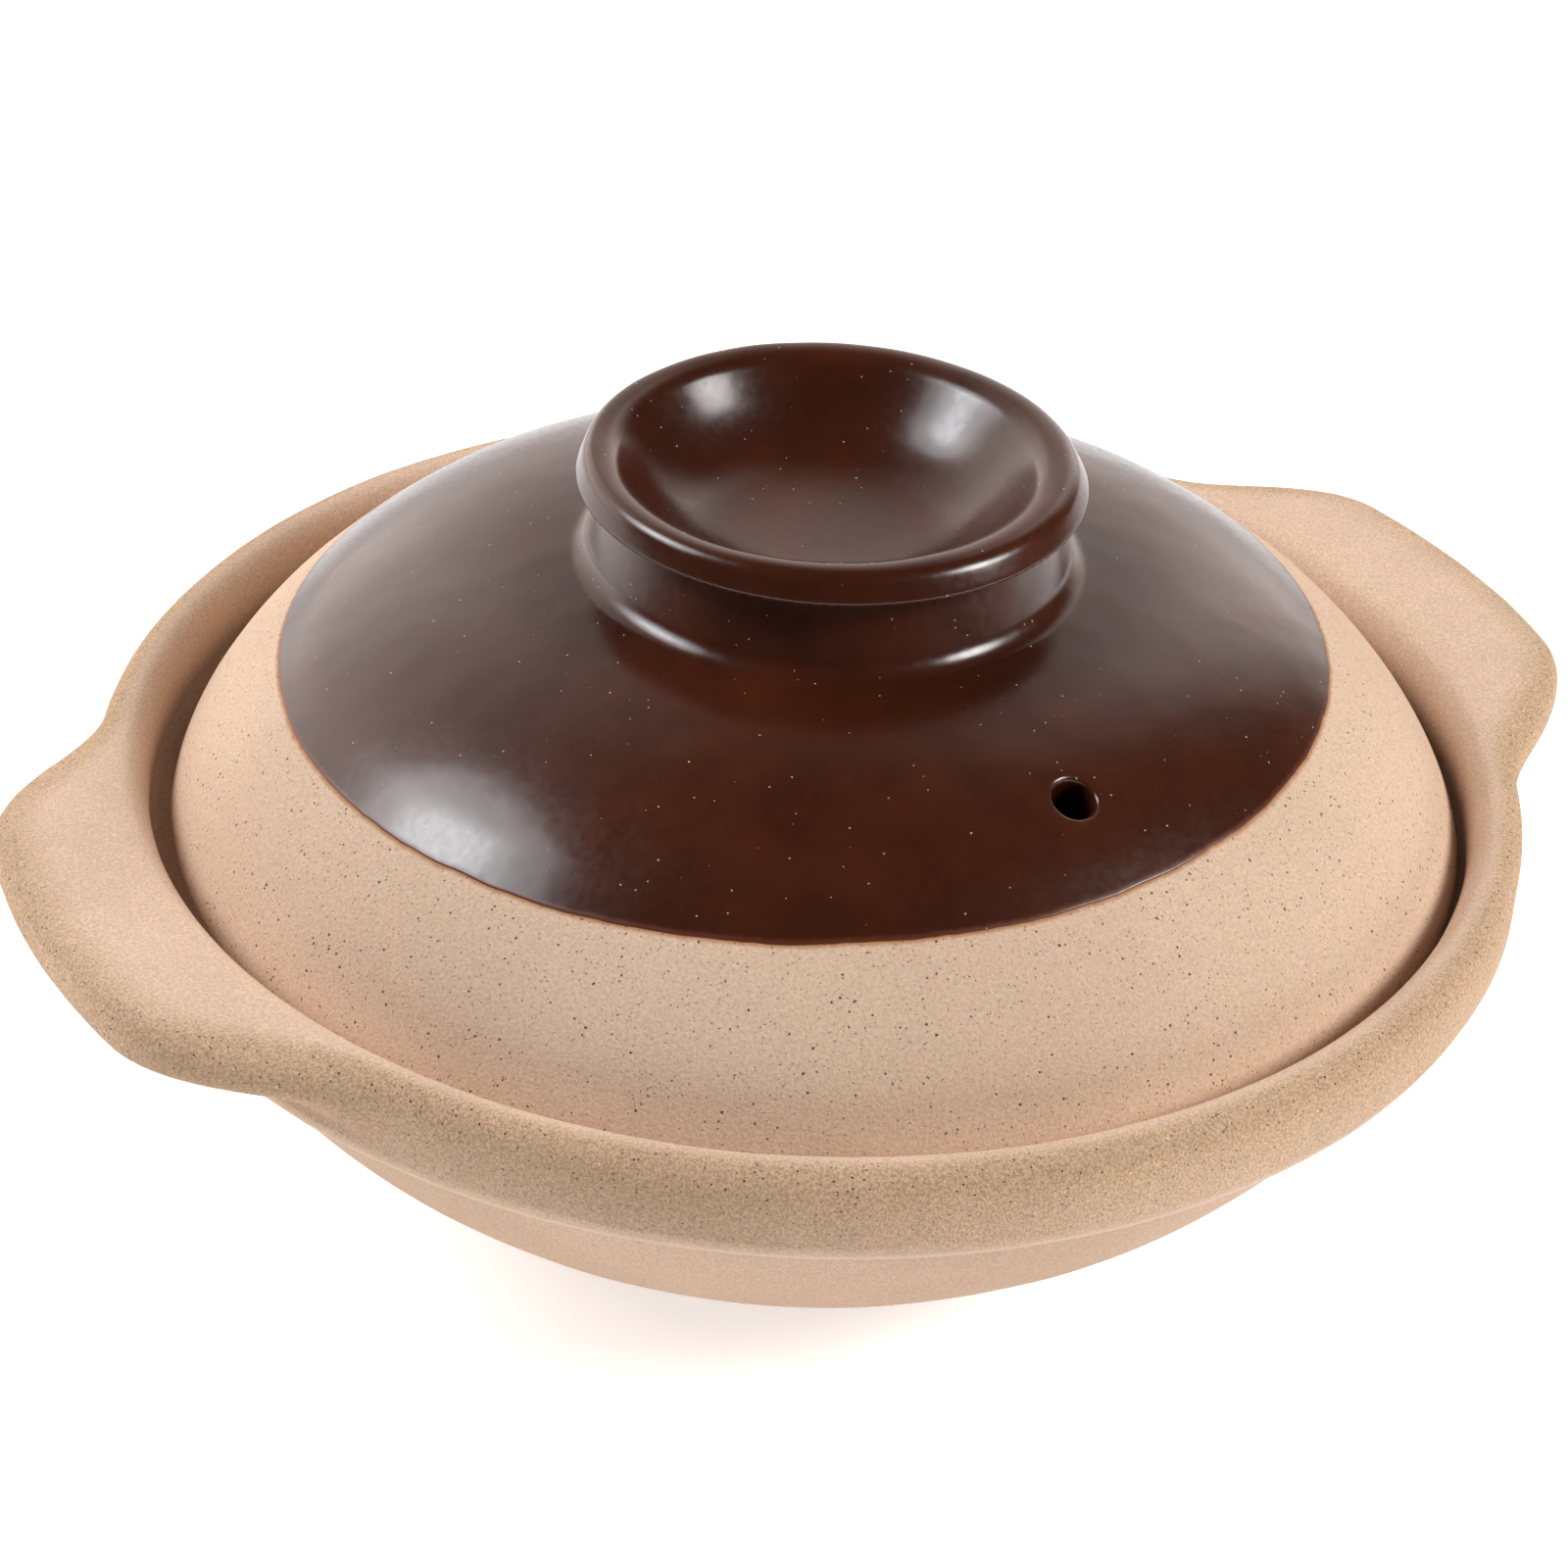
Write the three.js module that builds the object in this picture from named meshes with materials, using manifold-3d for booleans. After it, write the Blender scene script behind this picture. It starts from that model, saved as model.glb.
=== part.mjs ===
// Ceramic casserole for one: a stoneware pot with two ear handles, and a loose domed lid with a
// cup-shaped knob, a steam vent and a brown glaze dip on its crown.
// Millimetres, +Z up. The origin is the middle of the pot's flat base, and the ears point along X.
import * as THREE from 'three';
import { mergeVertices } from 'three/addons/utils/BufferGeometryUtils.js';
import Module from 'manifold-3d';

const wasm = await Module();
wasm.setup();

// Pot
const rimRadius = 90;
const collarWall = 6.6;
const potHeight = 50.8;
const collarHeight = 12;
const collarEdgeInset = 1;
const collarEdgeHeight = 2.4;
const collarOverhang = 4.1;
const collarUndercut = 0.8;
const baseRadius = 44;
const bowlBulge = 5.9;
const bowlWall = 6.8;
const floorThickness = 6;
const floorInset = 4;
const ledgeDepth = 9.1;
const ledgeWidth = 9.4;
const ledgeEdge = 1.4;

// Ear handles
const earReach = 13;
const earTipWidth = 39;
const earRootWidth = 89;
const earThickness = 7;
const earEdge = 3.2;
const earFlare = 5;

// Lid
const lidPlay = 1.9;
const lidEdge = 1.3;
const domeRise = 35.4;
const crownFullness = 3.3;
const shoulderFullness = 1.3;
const lidWall = 6;
const seatWidth = 5.4;
const ventRadius = 2.8;
const ventReach = 53;
const ventAngle = -86;

// Where the loose lid lies in its play
const lidRestX = 0.7;
const lidRestY = -0.55;

// Knob
const neckRadius = 28;
const neckFlare = 0.6;
const neckFoot = 3.6;
const footSweep = 75;
const footEdge = 0.4;
const knobHeight = 13.2;
const knobOverhang = 3.1;
const knobLipOuter = 3.7;
const knobLipInner = 1.2;
const knobLipUnder = 0.9;
const lipUnderSweep = 60;
const knobUndercut = 2.8;
const cupDepth = 8.2;

// Glaze
const glazeThickness = 0.5;
const dipHeight = 21.3;
const dipTilt = 1.7;
const dipTiltAngle = -30;

// Clearances: between joined pieces of clay and glaze, and under the seated lid
const joinGap = 0.3;
const seatGap = 0.3;

// Facets round the axis, and steps along the round stretches
const turns = 36;
const arcSteps = 4;
const edgeSteps = 3;
const creaseSteps = 2;
const curveSteps = 6;
const domeSteps = 9;
const earSteps = 18;
const ventSides = 16;

const bareClay = new THREE.MeshStandardMaterial({ color: 0xc6a684, roughness: 0.95, metalness: 0 });
const lidClay = new THREE.MeshStandardMaterial({ color: 0xd9b894, roughness: 0.85, metalness: 0 });
const brownGlaze = new THREE.MeshStandardMaterial({ color: 0x3d1c12, roughness: 0.12, metalness: 0 });

const radians = THREE.MathUtils.degToRad;
const at = (r, z) => new THREE.Vector2(r, z);
const steps = (count, place) => Array.from({ length: count + 1 }, (_, i) => place(i / count));

// Points on an arc round a centre in the (r, z) plane, with both ends
function arc(centreR, centreZ, radius, fromAngle, toAngle, count = arcSteps) {
  return steps(count, (share) => {
    const angle = radians(THREE.MathUtils.lerp(fromAngle, toAngle, share));
    return at(centreR + radius * Math.cos(angle), centreZ + radius * Math.sin(angle));
  });
}

// Middle of the straight way between two points, and the direction to its right
function chord(start, end) {
  const way = end.clone().sub(start);
  const middle = start.clone().add(end).multiplyScalar(0.5);
  return { middle, right: at(way.y, -way.x).normalize(), half: way.length() / 2 };
}

// Points on an arc from start to end that stands out by bulge to the right of the straight way
function bow(start, end, bulge) {
  const { middle, right, half } = chord(start, end);
  const radius = (half * half + bulge * bulge) / (2 * bulge);
  const centre = middle.addScaledVector(right, bulge - radius);
  const first = start.clone().sub(centre).angle();
  const sweep = 2 * Math.asin(half / radius);
  return steps(curveSteps, (share) => {
    const angle = first + sweep * share;
    return at(centre.x + radius * Math.cos(angle), centre.y + radius * Math.sin(angle));
  });
}

// The same path moved to the right of the way it runs. A point on the axis stays on the axis.
function moved(path, distance) {
  return path.map((point, i) => {
    const before = path[Math.max(i - 1, 0)];
    const after = path[Math.min(i + 1, path.length - 1)];
    const way = after.clone().sub(before).normalize();
    const onAxis = at(0, point.y - Math.sign(way.x) * distance);
    return point.x === 0 ? onAxis : at(point.x + way.y * distance, point.y - way.x * distance);
  });
}

function volume(geometry, corners) {
  const point = (i) => new THREE.Vector3().fromBufferAttribute(geometry.attributes.position, i);
  let sum = 0;
  for (let i = 0; i < corners.length; i += 3) {
    sum += point(corners[i]).dot(point(corners[i + 1]).cross(point(corners[i + 2])));
  }
  return sum / 6;
}

// A mesh with shared corners and no empty triangles, facing outwards
function closed(geometry) {
  geometry.deleteAttribute('normal');
  geometry.deleteAttribute('uv');
  const merged = mergeVertices(geometry, 1e-4);
  const corners = merged.index.array;
  const kept = [];
  for (let i = 0; i < corners.length; i += 3) {
    const triangle = [corners[i], corners[i + 1], corners[i + 2]];
    if (new Set(triangle).size === 3) {
      kept.push(...triangle);
    }
  }
  merged.setIndex(volume(merged, kept) < 0 ? kept.reverse() : kept);
  return merged;
}

// A closed (r, z) profile turned round the Z axis
function turned(profile) {
  const onAxis = profile[0].x === 0 && profile.at(-1).x === 0;
  const ring = onAxis ? profile : [...profile, profile[0]];
  return closed(new THREE.LatheGeometry(ring, turns).rotateX(Math.PI / 2));
}

function solid(geometry) {
  const vertProperties = new Float32Array(geometry.attributes.position.array);
  const triVerts = new Uint32Array(geometry.index.array);
  return new wasm.Manifold(new wasm.Mesh({ numProp: 3, vertProperties, triVerts }));
}

function cut(geometry, ...tools) {
  const left = tools.reduce((body, tool) => body.subtract(solid(tool)), solid(geometry)).getMesh();
  const result = new THREE.BufferGeometry();
  result.setAttribute('position', new THREE.BufferAttribute(left.vertProperties, 3));
  result.setIndex(new THREE.BufferAttribute(left.triVerts, 1));
  return result;
}

function piece(name, geometry, material) {
  const mesh = new THREE.Mesh(geometry, material);
  mesh.name = name;
  return mesh;
}

// Pot: radii and heights that follow from the sizes above
const lipRound = collarWall / 2;
const lipRadius = rimRadius - lipRound;
const lipHeight = potHeight - lipRound;
const collarInner = rimRadius - collarWall;
const collarBottom = potHeight - collarHeight;
const collarEdge = at(rimRadius - collarEdgeInset, collarBottom);
const bowlTop = at(collarEdge.x - collarOverhang, collarBottom - collarUndercut);
const ledgeHeight = potHeight - ledgeDepth;
const ledgeRadius = collarInner - ledgeWidth;

// Up the outside, from the rim of the base to the crown of the lip
const potOutside = [
  ...bow(at(baseRadius, 0), bowlTop, bowlBulge),
  collarEdge,
  at(rimRadius, collarBottom + collarEdgeHeight),
  ...arc(lipRadius, lipHeight, lipRound, 0, 90),
];

// Up the inside, from the edge of the flat floor to the ledge, as thick as the wall at half height
function bowlInside() {
  const floorEdge = at(baseRadius - floorInset, floorThickness);
  const ledgeStart = at(ledgeRadius, ledgeHeight - ledgeEdge);
  const outer = chord(at(baseRadius, 0), bowlTop);
  const inner = chord(floorEdge, ledgeStart);
  const outerFace = outer.middle.addScaledVector(outer.right, bowlBulge);
  const bulge = outerFace.sub(inner.middle).dot(inner.right) - bowlWall;
  return bow(floorEdge, ledgeStart, bulge);
}

function potBowl() {
  const ledge = [at(ledgeRadius + ledgeEdge, ledgeHeight), at(collarInner, ledgeHeight)];
  const lipInside = arc(lipRadius, lipHeight, lipRound, 180, 90).slice(0, -1);
  const inside = [at(0, floorThickness), ...bowlInside(), ...ledge, ...lipInside];
  return turned([at(0, 0), ...potOutside, ...inside.reverse()]);
}

// The lining ends at the ledge, so that the lid sits on bare clay
function bowlGlaze() {
  const lined = [at(0, floorThickness), ...bowlInside()];
  const back = moved(lined, -joinGap);
  const face = moved(lined, -joinGap - glazeThickness);
  return turned([...back, ...face.reverse()]);
}

// Plan of an ear that points along +X: a wide root on the rim that eases out to a blunt tip
function earPlan() {
  const rootAngle = Math.asin(earRootWidth / 2 / rimRadius);
  const tipAngle = Math.asin(earTipWidth / 2 / (rimRadius + earReach));
  const outline = steps(earSteps, (share) => {
    const angle = THREE.MathUtils.lerp(-rootAngle, rootAngle, share);
    const ease = THREE.MathUtils.smoothstep(rootAngle - Math.abs(angle), 0, rootAngle - tipAngle);
    const radius = rimRadius + earReach * ease;
    return at(radius * Math.cos(angle), radius * Math.sin(angle));
  });
  const rootX = collarInner * Math.cos(rootAngle);
  const rootY = collarInner * Math.sin(rootAngle);
  return new THREE.Shape([...outline, at(rootX, rootY), at(rootX, -rootY)]);
}

// An ear is a rounded plate that flares up from the crown of the lip, cut to sit round the rim
function ear() {
  const round = Math.min(earEdge, (earThickness - joinGap) / 2);
  const plate = new THREE.ExtrudeGeometry(earPlan(), {
    depth: earThickness - 2 * round,
    bevelThickness: round,
    bevelSize: round,
    bevelOffset: -round,
    bevelSegments: edgeSteps,
  });
  plate.translate(-lipRadius, 0, round - earThickness);
  plate.rotateY(-radians(earFlare));
  plate.translate(lipRadius, 0, potHeight + joinGap);
  const clear = potHeight + earReach;
  const rim = [at(0, 0), ...moved(potOutside, joinGap), at(lipRadius, clear), at(0, clear)];
  return cut(closed(plate), turned(rim));
}

// Lid, with height 0 at the underside of its seat ring
const lidRadius = collarInner - lidPlay;
const seatOuter = lidRadius - lidEdge;
const seatInner = seatOuter - seatWidth;

// Height of a dome of this radius and rise: flat on the crown, steep at the edge
function domed(r, radius, rise) {
  const fall = 1 - Math.min(r / radius, 1) ** crownFullness;
  return rise * fall ** (1 / shoulderFullness);
}

// Points on such a dome from its crown to its edge, closer together where it turns down
function domePath(radius, rise, base) {
  return steps(domeSteps, (share) => {
    const r = radius * Math.sin((Math.PI / 2) * share);
    return at(r, base + domed(r, radius, rise));
  });
}

const domeHeight = (r) => lidEdge + domed(r, lidRadius, domeRise);
const crownHeight = domeHeight(0);

// The vent is drilled square to the dome
function ventDrill() {
  const fall = domeHeight(ventReach - ventRadius) - domeHeight(ventReach + ventRadius);
  const length = 4 * lidWall;
  const drill = new THREE.CylinderGeometry(ventRadius, ventRadius, length, ventSides);
  drill.rotateX(Math.PI / 2);
  drill.rotateY(Math.atan2(fall, 2 * ventRadius));
  drill.translate(ventReach, 0, domeHeight(ventReach));
  drill.rotateZ(radians(ventAngle));
  return closed(drill);
}

function lidDome() {
  const outside = domePath(lidRadius, domeRise, lidEdge);
  const hollow = domePath(seatInner, crownHeight - lidWall, 0);
  const profile = [...outside, at(seatOuter, 0), ...hollow.reverse()];
  return cut(turned(profile), ventDrill());
}

// Knob: up from the flared foot on the dome, over the lip and into the middle of the cup
const footRadius = neckRadius + neckFoot;
const footStart = footRadius - neckFoot * Math.cos(radians(footSweep));
const footMiddle = domeHeight(footStart) + joinGap + footEdge + neckFoot * Math.sin(radians(footSweep));
const knobRadius = neckRadius + knobOverhang;
const knobTop = crownHeight + knobHeight;
const lipLine = knobTop - knobLipOuter;
const lipCrown = knobRadius - knobLipOuter;
const cupRadius = lipCrown - knobLipInner;
const cupRim = knobTop - knobLipInner;

function cup() {
  return steps(curveSteps, (share) => {
    const angle = (Math.PI / 2) * (1 - share);
    const r = share === 1 ? 0 : cupRadius * Math.sin(angle);
    return at(r, cupRim - (cupDepth - knobLipInner) * Math.cos(angle));
  });
}

const knobOutside = [
  ...arc(footRadius, footMiddle, neckFoot, 180 + footSweep, 180),
  at(neckRadius + neckFlare, lipLine - knobUndercut),
  ...arc(knobRadius - knobLipUnder, lipLine - knobLipUnder, knobLipUnder, -lipUnderSweep, 0, creaseSteps),
  ...arc(lipCrown, lipLine, knobLipOuter, 0, 90),
  ...arc(lipCrown, cupRim, knobLipInner, 90, 180, creaseSteps).slice(1, -1),
  ...cup(),
];

function lidKnob() {
  const under = steps(arcSteps, (share) => {
    const r = footStart * share;
    return at(r, domeHeight(r) + joinGap);
  });
  return turned([...under, ...knobOutside]);
}

// One dip coats the knob and the crown, down to the level of the glaze on a lid held askew
function lidGlaze() {
  const skirt = steps(domeSteps, (share) => {
    const r = THREE.MathUtils.lerp(seatOuter, footRadius, share);
    return at(r, domeHeight(r));
  });
  const coated = [...skirt.slice(0, -1), ...knobOutside];
  const back = moved(coated, joinGap);
  const face = moved(coated, joinGap + glazeThickness);
  const across = 4 * lidRadius;
  const undipped = new THREE.BoxGeometry(across, across, across);
  undipped.translate(0, 0, -across / 2);
  undipped.rotateY(-radians(dipTilt));
  undipped.rotateZ(radians(dipTiltAngle));
  undipped.translate(0, 0, lidEdge + dipHeight);
  return cut(turned([...face, ...back.reverse()]), closed(undipped), ventDrill());
}

const earRight = piece('ear_handle_right', ear(), bareClay);
const earLeft = piece('ear_handle_left', ear(), bareClay);
earLeft.rotation.z = Math.PI;

const pot = new THREE.Group();
pot.add(piece('pot_bowl', potBowl(), bareClay));
pot.add(earLeft, earRight);
pot.add(piece('bowl_glaze', bowlGlaze(), brownGlaze));

const lid = new THREE.Group();
lid.add(piece('lid_dome', lidDome(), lidClay));
lid.add(piece('lid_knob', lidKnob(), lidClay));
lid.add(piece('lid_glaze', lidGlaze(), brownGlaze));
lid.position.set(lidRestX, lidRestY, ledgeHeight + seatGap);

const casserole = new THREE.Group();
casserole.add(pot, lid);

export default casserole;
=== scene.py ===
"""Ceramic casserole for one: the looks of its pot, its lid and its glaze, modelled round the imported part.

Sizes are in metres in the part's own frame: +Z up, the origin in the middle of the pot's base, and
the ear handles along X. An outline is a list of (r, 0, z) points in the plane of the axis.
"""

import math

import bmesh
import bpy
from bpy.props import FloatProperty, FloatVectorProperty, PointerProperty
from mathutils import Matrix, Vector, noise
from mathutils.bvhtree import BVHTree


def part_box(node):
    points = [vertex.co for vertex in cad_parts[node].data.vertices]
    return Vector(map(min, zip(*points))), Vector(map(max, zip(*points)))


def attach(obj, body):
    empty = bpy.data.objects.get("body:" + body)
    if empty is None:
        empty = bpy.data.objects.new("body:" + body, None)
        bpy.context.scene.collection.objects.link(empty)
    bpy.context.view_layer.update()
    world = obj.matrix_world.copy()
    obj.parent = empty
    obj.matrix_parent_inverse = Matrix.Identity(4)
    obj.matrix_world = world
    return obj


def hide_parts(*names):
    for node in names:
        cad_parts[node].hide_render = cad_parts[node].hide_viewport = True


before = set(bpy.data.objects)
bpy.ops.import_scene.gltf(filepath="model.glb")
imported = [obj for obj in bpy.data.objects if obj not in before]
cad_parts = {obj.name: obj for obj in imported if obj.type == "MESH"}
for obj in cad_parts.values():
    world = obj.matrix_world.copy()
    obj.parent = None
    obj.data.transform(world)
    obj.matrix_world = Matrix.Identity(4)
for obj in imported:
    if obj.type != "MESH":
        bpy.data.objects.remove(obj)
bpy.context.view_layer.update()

bl_info = {
    "name": "Ceramic Casserole",
    "version": (1, 0, 0),
    "blender": (4, 5, 0),
    "location": "View3D > Sidebar > Casserole",
    "description": "Models a clay casserole with ear handles and a glaze-dipped lid",
    "category": "Add Mesh",
}

POT_LOW, POT_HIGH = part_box("pot_bowl")
EAR_LOW, EAR_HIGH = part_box("ear_handle_right")
LID_LOW, LID_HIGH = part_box("lid_dome")
LID_PLACE = Vector(((LID_LOW.x + LID_HIGH.x) / 2, (LID_LOW.y + LID_HIGH.y) / 2, LID_LOW.z))

MM = 0.001
FULL_TURN = 2 * math.pi

# Facets round the axis, and the longest step along an outline
POT_SEGMENTS = 320
LID_SEGMENTS = 320
OUTLINE_STEP = 1.1 * MM
FLAT_STEP = 3 * MM
KNOB_STEP = 0.9 * MM
ROUND_STEPS = 8
RIM_STEPS = 20
LIP_STEPS = 16

# The vent's hole is opened in a square of this many facets each way from its middle
VENT_CELLS = 3

# The edge of the vent in the clay, and the rows of glaze down its bore
VENT_CHAMFER = 0.3 * MM
BORE_STEP = 0.9 * MM
BORE_STEPS = 6

# How the rim's wear and painted light run: its pale lower edge, partly worn and partly a painted highlight
# over the shade under the collar; its band up to the lip, where worn grit and painted shade grow; and where
# both fade out
EDGE_REACH = 0.5 * MM
PALE_EDGE = 1.2 * MM
WEAR_AND_SHADE_FOOT = 0.5
WEAR_AND_SHADE_RISE = 0.45
WEAR_AND_SHADE_END = 1.75
WEAR_AND_SHADE_FADE = 0.3
EAR_WEAR_AND_SHADE_LESS = 0.6

# Share of the neck's radius within which all that stands above the dome belongs to the cup
CUP_SHARE = 0.875

# Share of a coat's thickness that its rounded edge has
BEAD_SHARE = 0.4

# Slope at which the top of an ear runs on into the lip
EAR_SLOPE = 0.16

# The lamps, each a wide softbox with a brighter bulb before it, and the floor just under the pot
SOFTBOX_DISTANCE = 1.2
BULB_DISTANCE = 1.19
BULB_WIDTH = 0.34
COOL = (0.95, 0.97, 1.0)
WARM = (1.0, 0.98, 0.96)
WHITE = (1.0, 1.0, 1.0)
FLOOR_DROP = 0.1 * MM

# How far a hand-made surface strays from its true form, and over what length
STRAY = 0.1 * MM
STRAY_LENGTH = 16 * MM


def length(name, description, default):
    """A size in metres."""
    return FloatProperty(name=name, description=description, default=default, unit="LENGTH", precision=5)


def angle(name, description, degrees):
    """An angle, given in degrees."""
    return FloatProperty(name=name, description=description, default=math.radians(degrees), subtype="ANGLE")


def number(name, description, default):
    """A plain factor."""
    return FloatProperty(name=name, description=description, default=default, subtype="FACTOR")


def colour(name, description, default):
    """A linear RGB colour."""
    return FloatVectorProperty(
        name=name, description=description, default=default, subtype="COLOR", min=0.0, max=1.0
    )


class PotSizes(bpy.types.PropertyGroup):
    """Sizes of the pot and its ear handles."""

    rim_radius: length("Rim radius", "From the axis to the outside of the collar", POT_HIGH.x)
    height: length("Height", "From the base to the crown of the lip", POT_HIGH.z)
    collar_wall: length("Collar wall", "Thickness of the collar", 6.6 * MM)
    collar_height: length("Collar height", "From the collar's lower edge to the crown of the lip", 12 * MM)
    edge_inset: length("Edge inset", "How far the collar draws in at its lower edge", 1 * MM)
    edge_height: length("Edge height", "Height over which the collar draws in", 2.4 * MM)
    overhang: length("Overhang", "How far the collar stands out over the bowl", 4.1 * MM)
    undercut: length("Undercut", "Slope of the collar's underside", 0.8 * MM)
    overhang_bend: length("Overhang bend", "Rounding between the bowl and the collar", 0.5 * MM)
    edge_round: length("Edge rounding", "Rounding of the collar's lower edge", 0.6 * MM)
    band_bend: length("Band bend", "Rounding where the collar begins to draw in", 1.5 * MM)
    base_radius: length("Base radius", "From the axis to the edge of the flat base", 44 * MM)
    bulge: length("Bulge", "How far the bowl's wall stands out from a straight line", 5.9 * MM)
    wall: length("Wall", "Thickness of the bowl at half height", 6.8 * MM)
    floor: length("Floor", "Thickness of the bowl's floor", 6 * MM)
    floor_inset: length("Floor inset", "How much narrower the floor is inside than outside", 4 * MM)
    lip_roll: length("Lip roll", "Height over which the lip rolls down to the lid", 5.6 * MM)
    ledge_depth: length("Ledge depth", "From the crown of the lip down to the lid's ledge", 9.1 * MM)
    ledge_width: length("Ledge width", "Width of the ledge that carries the lid", 9.4 * MM)
    ledge_edge: length("Ledge edge", "Rounding of the ledge's inner edge", 1.4 * MM)
    ledge_bend: length("Ledge bend", "Rounding between the ledge and the collar", 1.2 * MM)
    ear_reach: length("Ear reach", "How far an ear stands out from the collar", EAR_HIGH.x - POT_HIGH.x)
    ear_tip_width: length("Ear tip width", "Width of an ear across its blunt end", 39 * MM)
    ear_root_width: length("Ear root width", "Width of an ear where it leaves the collar", 89 * MM)
    ear_thickness: length("Ear thickness", "Thickness of an ear at its tip", 7 * MM)
    ear_edge: length("Ear edge", "Rounding of an ear's outer edge", 3.3 * MM)
    ear_bend: length("Ear bend", "Rounding between the collar and an ear's underside", 1.4 * MM)
    ear_bow: length("Ear bow", "How far the top of an ear bows up", 0.35 * MM)
    ear_rise: length("Ear rise", "How much higher an ear's tip is than the lip", 1.3 * MM)


class LidSizes(bpy.types.PropertyGroup):
    """Sizes of the lid, with heights above the underside of its seat."""

    radius: length("Lid radius", "From the axis to the lid's edge", (LID_HIGH.x - LID_LOW.x) / 2)
    edge: length("Lid edge", "Rounding of the lid's lower edge", 1.3 * MM)
    rise: length("Dome rise", "From the edge to the crown of the dome", 35.4 * MM)
    crown: number("Crown fullness", "How flat the dome is on its crown", 3.3)
    shoulder: number("Shoulder fullness", "How steep the dome is at its edge", 1.3)
    wall: length("Lid wall", "Thickness of the dome under its crown", 6 * MM)
    seat_width: length("Seat width", "Width of the ring that the lid sits on", 5.4 * MM)
    vent_radius: length("Vent radius", "Radius of the steam vent", 2.65 * MM)
    vent_lip: length("Vent lip", "Rounding of the glaze round the vent", 0.7 * MM)
    vent_reach: length("Vent reach", "From the axis to the vent", 53 * MM)
    vent_angle: angle("Vent angle", "Where the vent is round the axis, from +X", -86)


class KnobSizes(bpy.types.PropertyGroup):
    """Sizes of the cup-shaped knob, measured on its glaze."""

    neck_radius: length("Neck radius", "Radius of the neck where its foot begins", 29.3 * MM)
    neck_lean: angle("Neck lean", "How far the neck flares out towards its foot", 21)
    foot: length("Foot", "Rounding between the neck and the dome", 3.4 * MM)
    height: length("Knob height", "From the crown of the dome to the top of the lip", 13.2 * MM)
    overhang: length("Lip overhang", "How far the lip stands out over the neck's foot", 2.1 * MM)
    lip_edge: length("Lip edge", "From the top of the lip down to its outer edge", 3.5 * MM)
    lip_slope: length("Lip slope", "How far the lip's side slopes out towards its edge", 1.6 * MM)
    lip_outer: length("Lip shoulder", "Rounding of the lip's shoulder", 2.2 * MM)
    lip_under: length("Lip rounding", "Rounding of the lip's outer edge", 0.4 * MM)
    undercut: length("Undercut", "Height of the lip's underside", 1.2 * MM)
    neck_bend: length("Neck bend", "Rounding between the lip's underside and the neck", 0.9 * MM)
    cup_radius: length("Cup radius", "From the axis to the top of the lip", 28.3 * MM)
    cup_edge: length("Cup edge", "Rounding of the lip into the cup", 4 * MM)
    cup_wall: angle("Cup wall", "Slope of the cup's wall", 50)
    cup_bend: length("Cup bend", "From the axis to where the cup's wall bends into its floor", 23 * MM)
    cup_fullness: number("Cup fullness", "How flat the cup's floor is", 3.8)
    cup_shift: length("Cup shift", "How far the cup is off the middle of the knob", 0.8 * MM)
    cup_turn: angle("Cup turn", "Where the cup is off the middle towards, from +X", 150)


class GlazeSizes(bpy.types.PropertyGroup):
    """Sizes of the glaze coats."""

    thickness: length("Thickness", "How far the glaze stands out from the clay", 0.3 * MM)
    bead: length("Bead", "Width of the rounded edge of a coat", 0.2 * MM)
    feather: length("Feather", "How far from its edge a coat reaches its full thickness", 7 * MM)
    bedding: length("Bedding", "How deep a coat goes into the clay", 0.2 * MM)
    dip_height: length("Dip height", "Height of the dip's edge above the lid's edge", 21.3 * MM)
    dip_tilt: angle("Dip tilt", "How askew the lid was dipped", 1.7)
    dip_turn: angle("Dip turn", "Where the edge of the dip is lowest, from -X", -30)
    dip_waver: length("Dip waver", "How much the edge of the dip wavers", 0.14 * MM)


class Finishes(bpy.types.PropertyGroup):
    """Colours of the clay and the glaze."""

    pot_clay: colour("Pot clay", "Sandy bare clay of the pot", (0.74, 0.54, 0.405))
    pot_grit_dark: colour("Dark grit", "Dark grains in the pot's clay", (0.1, 0.052, 0.025))
    pot_grit_pale: colour("Pale grit", "Pale grains in the pot's clay", (1.0, 0.9, 0.74))
    # Pale colour along the collar's lower edge: partly worn clay, partly a painted highlight over the shade
    # under the collar
    pot_edge_wear_and_light: colour("Worn edge", "Clay worn smooth along the collar's lower edge", (0.86, 0.69, 0.53))
    lid_clay: colour("Lid clay", "Fine bare clay of the lid", (0.77, 0.56, 0.41))
    lid_speck: colour("Lid specks", "Dark specks in the lid's clay", (0.13, 0.066, 0.034))
    glaze: colour("Glaze", "Dark brown glaze", (0.044, 0.0102, 0.0044))
    glaze_thin: colour("Thin glaze", "Glaze where it is thin", (0.105, 0.024, 0.008))
    glaze_edge: colour("Glaze edge", "Stain on the clay along the glaze", (0.5, 0.2, 0.062))
    glaze_fleck: colour("Glaze flecks", "Pale flecks in the glaze", (0.55, 0.45, 0.36))


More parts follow.
